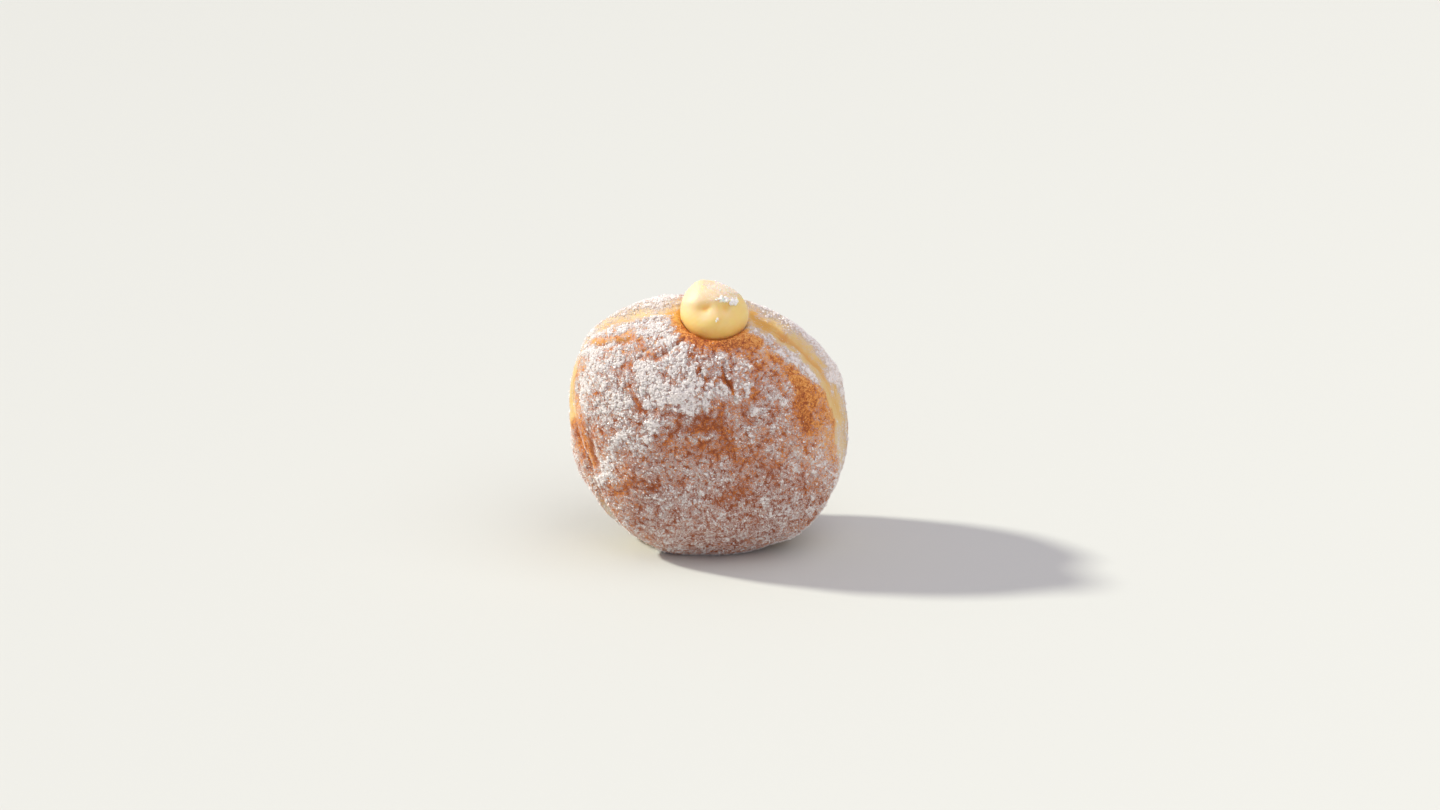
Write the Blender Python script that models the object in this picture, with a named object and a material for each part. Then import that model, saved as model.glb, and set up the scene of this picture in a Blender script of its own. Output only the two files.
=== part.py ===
"""A custard filled doughnut, standing on its edge.

Two solids. The dough is a fat round cushion with two browned faces and, between them, the pale
belt that a fried doughnut has where it floated. The custard was piped in through the belt: it
fills a pocket in the middle, comes up the hole and swells out of the crown as a round dollop.

+Z is up, and the doughnut's axis lies along Y with the front face towards -Y. The origin is on the
floor under the middle. A turn is an angle round the axis, from the crown towards +X. A tilt is an
angle out of the belt's plane, from -90 degrees at the front to 90 at the back.
"""

import math

import bmesh
import bpy
from mathutils import Matrix, Vector, noise

MM = 0.001

# Driving dimensions.
AXIS_HEIGHT = 39.5 * MM  # floor to the doughnut's axis
FRONT_DEPTH = 30 * MM  # middle plane to the middle of the front face
BACK_DEPTH = 28 * MM  # middle plane to the middle of the back face
FACE_ROUNDNESS = 2.4  # exponent of the profile: 2 is an ellipse, and more is boxier
DOLLOP_WIDTH = 21.7 * MM
DOLLOP_HEIGHT = 18.6 * MM
HOLE_RADIUS = 4.2 * MM  # hole that the custard was piped through
GAP = 0.3 * MM  # between the custard and the dough

# Outlines of the front and the back half round the axis, as (degrees of turn, mm from the axis).
# Both have a high shoulder on the upper left and a low saddle to the right of the crown. Low on
# the left the front half is drawn in, so that the back half shows beside it.
FRONT_OUTLINE = (
    (0, 42.6),
    (20, 42.4),
    (45, 43.6),
    (68, 44.6),
    (88, 44.6),
    (110, 46.0),
    (130, 45.8),
    (152, 44.0),
    (182, 42.4),
    (204, 42.8),
    (226, 43.4),
    (248, 41.4),
    (264, 40.8),
    (278, 43.4),
    (292, 46.0),
    (310, 48.2),
    (328, 46.8),
    (344, 44.2),
)
BACK_OUTLINE = (
    (0, 42.8),
    (22, 41.6),
    (42, 43.2),
    (64, 44.2),
    (88, 44.6),
    (110, 46.2),
    (130, 45.8),
    (152, 44.0),
    (182, 42.4),
    (206, 43.6),
    (229, 46.0),
    (250, 46.8),
    (270, 45.2),
    (292, 46.8),
    (310, 47.4),
    (330, 46.0),
    (346, 43.8),
)
HALVES_BLEND = 9 * MM  # depth, each side of the middle plane, over which one half becomes the other

# The belt between the halves: where its middle runs (mm from the middle plane), half its width and
# how deep it sinks. It is broad and shallow on the right. On the upper left it pinches to a crease,
# and low on the left to a deep fold that swings forwards.
BELT_MIDDLE = (
    (0, -4.0),
    (30, -4.5),
    (60, -7.5),
    (90, -7.0),
    (135, -4.0),
    (180, -3.0),
    (215, -6.5),
    (238, -11.0),
    (256, -9.0),
    (270, -3.5),
    (283, 1.0),
    (300, 1.5),
    (322, -2.5),
    (342, -4.5),
)
BELT_HALF_WIDTH = (
    (0, 5.0),
    (24, 7.0),
    (50, 7.5),
    (90, 6.5),
    (135, 6.5),
    (180, 6.0),
    (215, 5.0),
    (238, 3.6),
    (256, 3.4),
    (272, 4.0),
    (290, 4.5),
    (322, 3.6),
    (344, 3.8),
)
BELT_SINK = (
    (0, 1.4),
    (30, 2.2),
    (60, 1.8),
    (90, 1.1),
    (135, 0.8),
    (180, 0.5),
    (215, 1.6),
    (236, 4.6),
    (256, 4.8),
    (270, 2.6),
    (284, 1.0),
    (302, 1.4),
    (322, 2.6),
    (344, 2.0),
)
LIP_RISE = 0.7 * MM  # soft lip where each half meets the belt
LIP_WIDTH = 3.2 * MM

# Uneven dough: broad swells and shallow dimples.
SWELL_SIZE = 24 * MM
SWELL_RISE = 1.1 * MM
DIMPLE_SIZE = 9 * MM
DIMPLE_RISE = 0.5 * MM
NOISE_SEED = Vector((3.1, 0.4, 7.7))

# The custard: the dollop's middle, its sag and leaning top, and the pocket inside the dough.
DOLLOP_CENTRE = Vector((2.0 * MM, -7.6 * MM, AXIS_HEIGHT + 40.6 * MM))
DOLLOP_SAG = 1.6 * MM  # how far the front hangs down
PEAK_LEAN = Vector((-2.8 * MM, 1.0 * MM, 0.6 * MM))
POCKET_SIZE = Vector((18 * MM, 11 * MM, 15 * MM))  # half sizes
# Dents below the dollop's top, where the nozzle pulled away: turn round it, radius and depth in mm.
DENTS = ((-20, 3.2, 1.4), (21, 2.6, 1.1))
DENT_LEVEL = 0.5  # height of the dents as a share of the dollop's half height

# Mesh fineness.
FACE_CELLS = 22  # cells across each browned face
BELT_ROWS = 34  # rows of cells from one face to the other
BELT_CROWDING = 0.45  # how much closer the rows lie at the belt
POCKET_RINGS = 8
DOLLOP_RINGS = 16
CUSTARD_SIDES = 32

CRUST_COLOUR = (0.41, 0.145, 0.04, 1)
CUSTARD_COLOUR = (0.83, 0.62, 0.24, 1)


def clear_scene():
    for obj in list(bpy.data.objects):
        bpy.data.objects.remove(obj)


def around(turn, stations):
    """Value at this turn of a smooth closed curve through stations of (degrees, value)."""
    count = len(stations)
    degrees = math.degrees(turn) % 360
    index = max(i for i in range(count) if stations[i][0] <= degrees)

    def station(i):
        return stations[i % count][0] + 360 * (i // count), stations[i % count][1]

    (d0, v0), (d1, v1), (d2, v2), (d3, v3) = (station(index + step) for step in (-1, 0, 1, 2))
    span = d2 - d1
    slope1 = (v2 - v0) / (d2 - d0) * span
    slope2 = (v3 - v1) / (d3 - d1) * span
    t = (degrees - d1) / span
    return (
        v1 * (2 * t**3 - 3 * t**2 + 1)
        + slope1 * (t**3 - 2 * t**2 + t)
        + v2 * (3 * t**2 - 2 * t**3)
        + slope2 * (t**3 - t**2)
    )


def step_up(value, low, high):
    """0 below low, 1 above high, with a smooth rise between."""
    t = min(1.0, max(0.0, (value - low) / (high - low)))
    return t * t * (3 - 2 * t)


def hump(distance, width):
    """1 in the middle, falling smoothly to almost nothing two widths away."""
    return math.exp(-((distance / width) ** 2))


def outline(turn, depth):
    """Distance from the axis of the dough's fullest line, front or back as the depth says."""
    back_share = step_up(depth, -HALVES_BLEND, HALVES_BLEND)
    front = around(turn, FRONT_OUTLINE)
    back = around(turn, BACK_OUTLINE)
    return (front + (back - front) * back_share) * MM


def belt_relief(turn, depth):
    """How far the belt sinks below the outline, and its lips stand above it."""
    off = depth - around(turn, BELT_MIDDLE) * MM
    half_width = around(turn, BELT_HALF_WIDTH) * MM
    sink = around(turn, BELT_SINK) * MM * math.exp(-(abs(off / half_width) ** 3))
    return LIP_RISE * hump(abs(off) - half_width * 1.45, LIP_WIDTH) - sink


def dough_point(turn, tilt):
    """Point of the dough's skin round the axis, before the floor flattens it."""
    half = FRONT_DEPTH if tilt < 0 else BACK_DEPTH
    lean = (abs(math.sin(tilt)) / half) ** FACE_ROUNDNESS
    depth = 0.0
    for _ in range(3):
        radius = outline(turn, depth)
        reach = ((math.cos(tilt) / radius) ** FACE_ROUNDNESS + lean) ** (-1 / FACE_ROUNDNESS)
        depth = reach * math.sin(tilt)
    out = reach * math.cos(tilt) + belt_relief(turn, depth) * math.cos(tilt)
    point = Vector((out * math.sin(turn), depth, out * math.cos(turn)))
    swell = SWELL_RISE * noise.noise(point / SWELL_SIZE + NOISE_SEED)
    dimple = DIMPLE_RISE * noise.noise(point / DIMPLE_SIZE + NOISE_SEED)
    return point + point.normalized() * (swell + dimple)


def box_of_cells(across, along):
    """A cube from -1 to 1 whose front and back have across x across cells, and along rows between."""
    bm = bmesh.new()
    bmesh.ops.create_cube(bm, size=2)
    for axis, cuts in ((1, along - 1), (0, across - 1), (2, across - 1)):
        lengthwise = [
            edge
            for edge in bm.edges
            if abs((edge.verts[0].co - edge.verts[1].co).normalized()[axis]) > 0.99
        ]
        bmesh.ops.subdivide_edges(bm, edges=lengthwise, cuts=cuts)
    return bm


def turn_and_tilt(spot):
    """Turn and tilt of a spot on the box of cells, spread so that the cells come out even."""
    quarter = math.pi / 4
    ring = max(abs(spot.x), abs(spot.z))
    if ring < 1e-6:
        return 0.0, math.copysign(math.pi / 2, spot.y)
    if abs(spot.x) > abs(spot.z):
        turn = math.atan2(spot.x / ring, math.tan(quarter * spot.z / ring))
    else:
        turn = math.atan2(math.tan(quarter * spot.x / ring), spot.z / ring)
    if abs(spot.y) > 1 - 1e-6:
        return turn, math.copysign(quarter * (2 - ring), spot.y)
    return turn, quarter * ((1 - BELT_CROWDING) * spot.y + BELT_CROWDING * spot.y**3)


def dough_mesh():
    """The dough's skin as a closed mesh that stands on the floor."""
    bm = box_of_cells(FACE_CELLS, BELT_ROWS)
    for vert in bm.verts:
        vert.co = dough_point(*turn_and_tilt(vert.co))
        vert.co.z = max(0.0, vert.co.z + AXIS_HEIGHT)
    return bm


def custard_rings():
    """Middle and half sizes in X and Y of each ring up the custard, from pocket to dollop."""
    pocket_centre = Vector((0, 0, AXIS_HEIGHT))
    rings = []
    shoulder = math.pi / 2 - math.asin(HOLE_RADIUS / POCKET_SIZE.y)
    for i in range(1, POCKET_RINGS + 1):
        angle = -math.pi / 2 + (shoulder + math.pi / 2) * i / POCKET_RINGS
        middle = pocket_centre + Vector((0, 0, POCKET_SIZE.z * math.sin(angle)))
        narrow = POCKET_SIZE.y * math.cos(angle)
        # The pocket is wider along X, and round where the neck leaves it.
        widen = 1 + (POCKET_SIZE.x / POCKET_SIZE.y - 1) * (1 - step_up(angle, 0.2 * shoulder, shoulder))
        rings.append((middle, narrow * widen, narrow))
    root = -math.acos(2 * HOLE_RADIUS / DOLLOP_WIDTH)
    for i in range(DOLLOP_RINGS):
        angle = root + (math.pi / 2 - root) * i / DOLLOP_RINGS
        middle = DOLLOP_CENTRE + Vector((0, 0, DOLLOP_HEIGHT / 2 * math.sin(angle)))
        radius = DOLLOP_WIDTH / 2 * math.cos(angle)
        rings.append((middle, radius, radius))
    return rings


def dollop_form(point):
    """Moves a point of the plain dollop to its own form: sagging front, leaning top and dents."""
    rel = point - DOLLOP_CENTRE
    if rel.z < -DOLLOP_HEIGHT / 2:
        return point
    share = rel.z / (DOLLOP_HEIGHT / 2)
    front = step_up(-rel.y, 0, DOLLOP_WIDTH / 2)
    rel += PEAK_LEAN * max(0.0, share) ** 2
    rel.z -= DOLLOP_SAG * front * (1 - share) / 2
    for degrees, size, deep in DENTS:
        angle = math.radians(degrees)
        level = math.asin(DENT_LEVEL)
        flat = DOLLOP_WIDTH / 2 * math.cos(level)
        dent = Vector((flat * math.sin(angle), -flat * math.cos(angle), DOLLOP_HEIGHT / 2 * DENT_LEVEL))
        rel -= rel.normalized() * deep * MM * hump((rel - dent).length, size * MM)
    return DOLLOP_CENTRE + rel


def custard_mesh(grown=0.0):
    """The custard as one closed mesh of pocket, neck and dollop, grown outwards if asked."""
    bm = bmesh.new()
    rings = []
    for middle, half_x, half_y in custard_rings():
        made = bmesh.ops.create_circle(bm, segments=CUSTARD_SIDES, radius=1)
        for vert in made["verts"]:
            vert.co = middle + Vector((vert.co.x * half_x, vert.co.y * half_y, 0))
        rings.append(made["verts"])
    for low, high in zip(rings, rings[1:]):
        for i in range(CUSTARD_SIDES):
            j = (i + 1) % CUSTARD_SIDES
            bm.faces.new((low[i], low[j], high[j], high[i]))
    bottom = bm.verts.new((0, 0, AXIS_HEIGHT - POCKET_SIZE.z))
    top = bm.verts.new(DOLLOP_CENTRE + Vector((0, 0, DOLLOP_HEIGHT / 2)))
    for i in range(CUSTARD_SIDES):
        j = (i + 1) % CUSTARD_SIDES
        bm.faces.new((bottom, rings[0][j], rings[0][i]))
        bm.faces.new((top, rings[-1][i], rings[-1][j]))
    for vert in bm.verts:
        vert.co = dollop_form(vert.co)
    bmesh.ops.recalc_face_normals(bm, faces=bm.faces)
    bm.normal_update()
    for vert in bm.verts:
        vert.co += vert.normal * grown
    return bm


def finish_of(name, colour, roughness):
    """A plain material."""
    finish = bpy.data.materials.new(name)
    finish.use_nodes = True
    shader = finish.node_tree.nodes["Principled BSDF"]
    shader.inputs["Base Color"].default_value = colour
    shader.inputs["Roughness"].default_value = roughness
    shader.inputs["Metallic"].default_value = 0.0
    return finish


def add_object(name, bm, finish):
    """One named object from a bmesh, its faces outwards and shaded smooth."""
    bmesh.ops.recalc_face_normals(bm, faces=bm.faces)
    mesh = bpy.data.meshes.new(name)
    bm.to_mesh(mesh)
    bm.free()
    mesh.shade_smooth()
    mesh.materials.append(finish)
    obj = bpy.data.objects.new(name, mesh)
    bpy.context.scene.collection.objects.link(obj)
    return obj


def cut_pocket(dough, cutter):
    """Opens the hole and the pocket in the dough, a gap wider than the custard."""
    cutter.hide_render = True
    cutter.display_type = "WIRE"
    cut = dough.modifiers.new("pocket", "BOOLEAN")
    cut.operation = "DIFFERENCE"
    cut.solver = "EXACT"
    cut.object = cutter


def centre_over_origin(solids):
    """Shifts the solids together so that the first one's box is centred over the origin."""
    corners = [Vector(corner) for corner in solids[0].bound_box]
    middle = sum(corners, Vector()) / len(corners)
    for solid in solids:
        solid.data.transform(Matrix.Translation((-middle.x, -middle.y, 0)))


def build():
    clear_scene()
    crust = finish_of("crust", CRUST_COLOUR, 0.75)
    cream = finish_of("custard", CUSTARD_COLOUR, 0.35)
    dough = add_object("dough", dough_mesh(), crust)
    custard = add_object("custard", custard_mesh(), cream)
    cutter = add_object("pocket_cutter", custard_mesh(GAP), crust)
    cut_pocket(dough, cutter)
    centre_over_origin((dough, custard, cutter))


build()
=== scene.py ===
"""A custard filled doughnut under a dusting of sugar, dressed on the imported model."""

import math

import bmesh
import bpy
import numpy as np
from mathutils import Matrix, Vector, noise
from mathutils.bvhtree import BVHTree


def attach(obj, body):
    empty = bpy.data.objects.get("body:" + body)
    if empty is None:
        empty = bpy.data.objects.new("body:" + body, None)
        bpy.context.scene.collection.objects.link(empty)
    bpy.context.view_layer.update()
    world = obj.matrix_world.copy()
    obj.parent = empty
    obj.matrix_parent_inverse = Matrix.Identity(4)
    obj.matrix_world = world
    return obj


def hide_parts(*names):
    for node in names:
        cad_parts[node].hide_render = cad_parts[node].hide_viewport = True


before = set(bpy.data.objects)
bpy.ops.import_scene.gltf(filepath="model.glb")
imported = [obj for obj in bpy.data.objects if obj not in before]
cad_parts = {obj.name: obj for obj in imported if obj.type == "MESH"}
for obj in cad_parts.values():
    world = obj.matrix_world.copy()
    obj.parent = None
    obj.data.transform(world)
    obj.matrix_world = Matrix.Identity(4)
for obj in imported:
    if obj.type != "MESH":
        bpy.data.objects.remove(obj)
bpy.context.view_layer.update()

MM = 0.001

# ---------------------------------------------------------------------------------------------
# The camera. It looks down on the standing doughnut from the front, from far enough away that
# its faces hardly widen towards the lens.
LENS = 92  # mm
SENSOR = 36  # mm
LOOK_DOWN = math.radians(21.5)
DISTANCE = 1174 * MM
AIM = Vector((3.6, 0.6, 46.3)) * MM

to_lens = Vector((0, -math.cos(LOOK_DOWN), math.sin(LOOK_DOWN)))
lens_up = Vector((0, math.sin(LOOK_DOWN), math.cos(LOOK_DOWN)))
camera_data = bpy.data.cameras.new("camera")
camera_data.lens = LENS
camera_data.sensor_width = SENSOR
camera = bpy.data.objects.new("camera", camera_data)
camera.location = AIM + to_lens * DISTANCE
camera.rotation_euler = (math.pi / 2 - LOOK_DOWN, 0, 0)
bpy.context.scene.collection.objects.link(camera)
bpy.context.scene.camera = camera


# ---------------------------------------------------------------------------------------------
# The custard. Thick pastry cream piped in through the belt, which fills the pocket and swells out
# of the hole as a round dollop. The nozzle was drawn away upwards, and left a low cap on the ball
# with two soft hollows under its edge and a small tail at its left.
CAP_EDGE = ((-9, 75.4), (-5, 74.2), (-1.5, 74.6), (2.2, 75.6), (5.4, 74.9), (9, 76.2), (14, 77.5))
CAP_HEIGHT = 0.5  # mm
HOLLOWS = ((-0.9, 2.0, 0.30), (5.5, 1.3, 0.32))  # place along the edge, half width, depth
FLAKES = (((4.1, 76.5), (1.9, 0.8)), ((7.8, 75.7), (1.6, 1.3)))  # middle and half sizes
LONE_GRAIN = (2.7, 70.3)
LONE_GRAIN_RADIUS = 0.42
# The belly, the top of the cap and the dip beside it, as (middle, half width, height).
SWELLINGS = (((2.5, 70.0), 4.0, 0.1), ((-2.5, 81.5), 2.0, 0.4), ((-7.6, 79.6), 3.4, -0.8))


def merged_copy(node):
    """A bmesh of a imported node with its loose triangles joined."""
    bm = bmesh.new()
    bm.from_mesh(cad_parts[node].data)
    bmesh.ops.remove_doubles(bm, verts=bm.verts, dist=0.005 * MM)
    bmesh.ops.recalc_face_normals(bm, faces=bm.faces)
    return bm


def new_object(name, mesh):
    piece = bpy.data.objects.new(name, mesh)
    bpy.context.scene.collection.objects.link(piece)
    return piece


def with_modifiers(piece):
    """Gives the piece the mesh that its modifiers make, and clears them."""
    made = piece.evaluated_get(bpy.context.evaluated_depsgraph_get())
    piece.data = bpy.data.meshes.new_from_object(made)
    piece.modifiers.clear()


def spots_and_normals(mesh):
    spots = np.empty(len(mesh.vertices) * 3)
    normals = np.empty(len(mesh.vertices) * 3)
    mesh.vertices.foreach_get("co", spots)
    mesh.vertex_normals.foreach_get("vector", normals)
    return spots.reshape(-1, 3), normals.reshape(-1, 3)


def step_up(values, low, high):
    """0 below low, 1 above high, with a smooth rise between."""
    t = np.clip((values - low) / (high - low), 0, 1)
    return t * t * (3 - 2 * t)


def hump(distance, width):
    """1 in the middle, falling smoothly to almost nothing two widths away."""
    return np.exp(-((distance / width) ** 2))


def noise_at(points, size, seed, octaves=1):
    """Smooth noise from about -1 to 1 with lumps of this size, at each point."""
    shift = Vector((seed * 7.3, seed * 3.1, seed * 5.7))
    if octaves == 1:
        return np.array([noise.noise(Vector(p) + shift) for p in points / size])
    return np.array([noise.fractal(Vector(p) + shift, 1.0, 2.0, octaves) for p in points / size])


def picture_place(points):
    """Millimetres right of the middle and up from the floor line, as the camera sees each point."""
    rel = points - np.array(camera.location)
    depth = -rel @ np.array(to_lens)
    spread = DISTANCE / depth
    right = AIM.x / MM + rel[:, 0] / MM * spread
    up = AIM.z / MM * math.cos(LOOK_DOWN) + rel @ np.array(lens_up) / MM * spread
    return np.stack((right, up), axis=1)


filling = merged_copy("custard")
custard_mesh = bpy.data.meshes.new("custard_dollop")
filling.to_mesh(custard_mesh)
filling.free()
custard = new_object("custard_dollop", custard_mesh)
rounding = custard.modifiers.new("rounding", "SUBSURF")
rounding.levels = rounding.render_levels = 2
with_modifiers(custard)
custard_mesh = custard.data
custard_mesh.name = "custard_dollop"

spots, outward = spots_and_normals(custard_mesh)
places = picture_place(spots)
facing = step_up(outward @ np.array(to_lens), 0.0, 0.3) * step_up(spots[:, 2], 66 * MM, 70 * MM)
above_edge = places[:, 1] - np.interp(places[:, 0], *zip(*CAP_EDGE))
raised = CAP_HEIGHT * step_up(above_edge, -1.2, 1.8)
sunk = sum(depth * hump(places[:, 0] - at, width) for at, width, depth in HOLLOWS)
sunk = (sunk + 0.04) * hump(above_edge + 0.8, 1.6)
for middle, width, height in SWELLINGS:
    raised += height * hump(np.linalg.norm(places - np.array(middle), axis=1), width)
dusted = step_up(noise_at(spots / MM, 5.0, 21), -0.6, 0.1) * step_up(outward[:, 2], 0.35, 0.8)
dusted *= 1 - facing * (1 - step_up(above_edge, -0.3, 1.2) * step_up(places[:, 0], -4.5, 1.0))
raised += 0.12 * dusted * noise_at(spots / MM, 1.2, 22, 2)
flakes = [hump(np.linalg.norm((places - at) / sizes, axis=1), 1) for at, sizes in FLAKES]
caked = facing * sum(flakes) * (1 + 0.9 * noise_at(spots / MM, 1.5, 23, 2))
caked = step_up(caked, 0.35, 0.75)
on_grain = np.linalg.norm(places - np.array(LONE_GRAIN), axis=1) < LONE_GRAIN_RADIUS
caked = np.maximum(caked, facing * on_grain)
raised += 0.25 * caked * (1 + 0.8 * noise_at(spots / MM, 0.8, 24))
spots += outward * ((raised - sunk) * facing * MM)[:, None]
custard_mesh.vertices.foreach_set("co", spots.ravel())
custard_mesh.update()
custard_mesh.shade_smooth()
# Painted shade: the hollows under the cap's edge are painted a deeper orange, as the warm glow of shade in
# translucent cream.
hollow_painted_glow = facing * np.clip(2.1 * sunk, 0, 1)
# Painted light and shade: the cream is painted paler where it faces up and to the upper left, towards the
# sun, and along the cap's edge, and darker and oranger underneath.
painted_light_and_shade = 0.35 + 0.65 * step_up(outward @ np.array((-0.45, -0.1, 0.89)), 0.35, 0.95)
painted_light_and_shade += 0.25 * facing * step_up(above_edge, 0.0, 1.5) - 0.6 * step_up(0.3 - outward[:, 2], 0.0, 1.0)
for name, values in (("dusted", dusted), ("caked", caked), ("painted_light_and_shade", painted_light_and_shade), ("hollow_painted_glow", hollow_painted_glow)):
    custard_mesh.attributes.new(name, "FLOAT", "POINT").data.foreach_set("value", values)


def new_material(name):
    """A material with its node tree, and its Principled BSDF."""
    material = bpy.data.materials.new(name)
    material.use_nodes = True
    return material, material.node_tree, material.node_tree.nodes["Principled BSDF"]


def add_node(tree, kind, inputs=(), **settings):
    """A node with its settings, and its inputs given by name or number as values or as links."""
    node = tree.nodes.new("ShaderNode" + kind)
    for setting, value in settings.items():
        setattr(node, setting, value)
    for key, value in dict(inputs).items():
        if isinstance(value, bpy.types.NodeSocket):
            tree.links.new(value, node.inputs[key])
        else:
            node.inputs[key].default_value = value
    return node


def attribute(tree, name):
    return add_node(tree, "Attribute", attribute_name=name).outputs["Fac"]


def shared_effect(name, inputs):
    """A node group from numbers to one number, with its inputs and its outputs."""
    group = bpy.data.node_groups.new(name, "ShaderNodeTree")
    for socket, value in inputs.items():
        made = group.interface.new_socket(socket, in_out="INPUT", socket_type="NodeSocketFloat")
        made.default_value = value
    group.interface.new_socket("Value", in_out="OUTPUT", socket_type="NodeSocketFloat")
    return group, group.nodes.new("NodeGroupInput").outputs, group.nodes.new("NodeGroupOutput").inputs


def weigh(tree, a, factor, b, pivot=0.5):
    """a + factor x (b - pivot)"""
    centred = add_node(tree, "Math", {0: b, 1: pivot}, operation="SUBTRACT").outputs[0]
    return add_node(tree, "Math", {0: centred, 1: factor, 2: a}, operation="MULTIPLY_ADD").outputs[0]


def ramp(tree, value, *stops):
    """A colour ramp through stops of (position, colour)."""
    node = add_node(tree, "ValToRGB", {"Fac": value})
    elements = node.color_ramp.elements
    while len(elements) < len(stops):
        elements.new(0.5)
    for element, (position, colour) in zip(elements, stops):
        element.position = position
        element.color = (*colour, 1)
    return node.outputs["Color"]


def blend(tree, factor, a, b):
    """Mix of two colours."""
    node = add_node(tree, "Mix", data_type="RGBA")
    for socket, value in ((0, factor), (6, a), (7, b)):
        if isinstance(value, bpy.types.NodeSocket):
            tree.links.new(value, node.inputs[socket])
        elif socket == 0:
            node.inputs[0].default_value = value
        else:
            node.inputs[socket].default_value = (*value, 1)
    return node.outputs[2]


def between(tree, value, low, high, to_low=0.0, to_high=1.0):
    """The value carried from one range to another, smoothly and without going past it."""
    inputs = {"Value": value, "From Min": low, "From Max": high, "To Min": to_low, "To Max": to_high}
    return add_node(tree, "MapRange", inputs, interpolation_type="SMOOTHSTEP").outputs["Result"]


# Grain: noise from 0 to 1 with lumps of a size in mm.
grain_effect, given, result = shared_effect("grain", {"Size": 1.0, "Detail": 2.0})
scale = add_node(grain_effect, "Math", {0: 1 / MM, 1: given["Size"]}, operation="DIVIDE").outputs[0]
place = add_node(grain_effect, "TexCoord").outputs["Object"]
inputs = {"Vector": place, "Scale": scale, "Detail": given["Detail"], "Roughness": 0.6}
grain_effect.links.new(add_node(grain_effect, "TexNoise", inputs).outputs["Fac"], result["Value"])


def grain(tree, size, detail=2.0):
    node = add_node(tree, "Group", node_tree=grain_effect)
    node.inputs["Size"].default_value = size
    node.inputs["Detail"].default_value = detail
    return node.outputs["Value"]


# Dusting: how much sugar covers a spot, broken up into patches, specks and dots.
dusting_effect, given, result = shared_effect(
    "dusting",
    {"Amount": 0.5, "Patches": 0.8, "Specks": 1.0, "Dots": 1.9, "Bare": 0.4, "Full": 0.9, "Most": 1.0},
)
level = given["Amount"]
for name, size, detail in (("Patches", 1.1, 3), ("Specks", 0.6, 3), ("Dots", 0.36, 2)):
    level = weigh(dusting_effect, level, given[name], grain(dusting_effect, size, detail))
cover = between(dusting_effect, level, given["Bare"], given["Full"], 0.0, given["Most"])
any_at_all = between(dusting_effect, given["Amount"], 0.0, 0.15)
cover = add_node(dusting_effect, "Math", {0: cover, 1: any_at_all}, operation="MULTIPLY").outputs[0]
dusting_effect.links.new(cover, result["Value"])


def dusting(tree, amount, **values):
    node = add_node(tree, "Group", node_tree=dusting_effect)
    tree.links.new(amount, node.inputs["Amount"])
    for name, value in values.items():
        node.inputs[name].default_value = value
    return node.outputs["Value"]


custard_cream, tree, shader = new_material("custard_cream")
cloudy = grain(tree, 5.0, 2)
# The cream's colour runs from painted shade underneath to painted light on the sunlit top, with a cloudy tone
# over it.
painted_light_and_shade = weigh(tree, attribute(tree, "painted_light_and_shade"), 0.3, cloudy)
colour = ramp(tree, painted_light_and_shade, (0.0, (0.88, 0.54, 0.13)), (0.35, (0.95, 0.685, 0.24)), (1.0, (0.90, 0.705, 0.44)))
# The painted shade in the hollows.
colour = blend(tree, between(tree, attribute(tree, "hollow_painted_glow"), 0.1, 1.0, 0.0, 0.9), colour, (0.95, 0.60, 0.10))
powdered = dusting(tree, attribute(tree, "dusted"), Patches=1.2, Specks=2.0, Dots=1.2, Bare=0.42, Full=1.15)
colour = blend(tree, powdered, colour, (0.96, 0.80, 0.61))
crusted = dusting(tree, attribute(tree, "caked"), Patches=2.0, Specks=1.4, Dots=1.0, Bare=0.35, Full=0.55)
colour = blend(tree, crusted, colour, (1.0, 0.97, 0.82))
tree.links.new(colour, shader.inputs["Base Color"])
tree.links.new(between(tree, powdered, 0.0, 0.6, 0.52, 0.75), shader.inputs["Roughness"])
silky = grain(tree, 1.6, 2)
bump = add_node(tree, "Bump", {"Height": silky, "Strength": 0.12, "Distance": 0.1 * MM})
tree.links.new(bump.outputs["Normal"], shader.inputs["Normal"])
shader.inputs["Specular IOR Level"].default_value = 0.6
shader.inputs["Sheen Weight"].default_value = 0.25
shader.inputs["Sheen Roughness"].default_value = 0.4
shader.inputs["Subsurface Weight"].default_value = 0.8
shader.inputs["Subsurface Radius"].default_value = (1.0, 0.62, 0.2)
shader.inputs["Subsurface Scale"].default_value = 3.5 * MM
custard.data.materials.append(custard_cream)
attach(custard, "root")
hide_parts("custard")


# ---------------------------------------------------------------------------------------------
# The dough. A yeast doughnut, fried on one face and then the other, so that both faces are brown
# and the belt between them stays pale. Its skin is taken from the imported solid, made fine and
# smooth, and then given its creases, wrinkles and crusted sugar.
MIDDLE = Vector((-0.1, 0.65, 39.5)) * MM  # where the dough's axis crosses the belt's plane
FACE_CELLS = 120  # cells across each face
BELT_ROWS = 128  # rows of cells from face to face
OUTSIDE = 80 * MM  # a distance that is clear of the dough
OVER_HOLE = 0.8  # directions that rise by more than this may meet the hole
HOLE_FLOOR = 36 * MM  # over the hole the skin goes no nearer to the middle than this
SMOOTHINGS = 8  # rounds that soften the solid's facets
PULLED_IN = 0.4  # mm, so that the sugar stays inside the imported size
CROWN = 84  # mm, where the streaks in the sugar meet
POCKET_GAP = 0.15 * MM  # the pocket is this much wider than the custard on every side
POCKET_SHARE = 0.25  # of the custard's triangles, for the pocket's wall
CUSTARD_REACH = 8 * MM  # how far the custard's nearness is measured
FAR_OFF = 99.0  # mm, beyond that reach

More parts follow.
